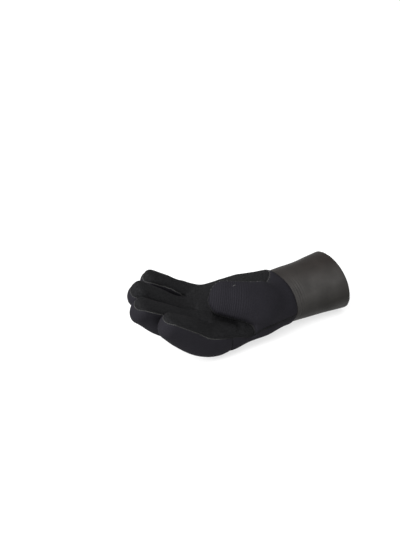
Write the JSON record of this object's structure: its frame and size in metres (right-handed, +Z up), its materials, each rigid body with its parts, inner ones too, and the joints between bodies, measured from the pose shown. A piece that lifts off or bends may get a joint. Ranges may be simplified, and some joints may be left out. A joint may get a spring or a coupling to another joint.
{
  "type": "neoprene glove",
  "caption": "Left-hand neoprene diving glove lying palm up, with a grip palm, dark fabric back and a smooth open cuff.",
  "frame": {"origin": "centre of the glove's box in plan, on the surface that the glove lies on", "axes": "+X from the fingertips to the cuff, +Y from the thumb side to the little-finger side, +Z up out of the palm"},
  "size_m": [0.2642, 0.116, 0.0859],
  "materials": {
    "grip_palm": "matt charcoal with a fine raised grip texture",
    "navy_jersey": "matt very dark navy stretch jersey on foam",
    "smooth_skin": "smooth charcoal foam skin with a soft sheen",
    "seam_thread": "thin grey-green thread",
    "lining": "matt black knitted lining"
  },
  "bodies": {
    "root": {"palm_panel": "grip_palm", "finger_back_panel": "navy_jersey", "hand_back_panel": "navy_jersey", "thumb_panel": "navy_jersey", "cuff": "smooth_skin"}
  },
  "joints": []
}
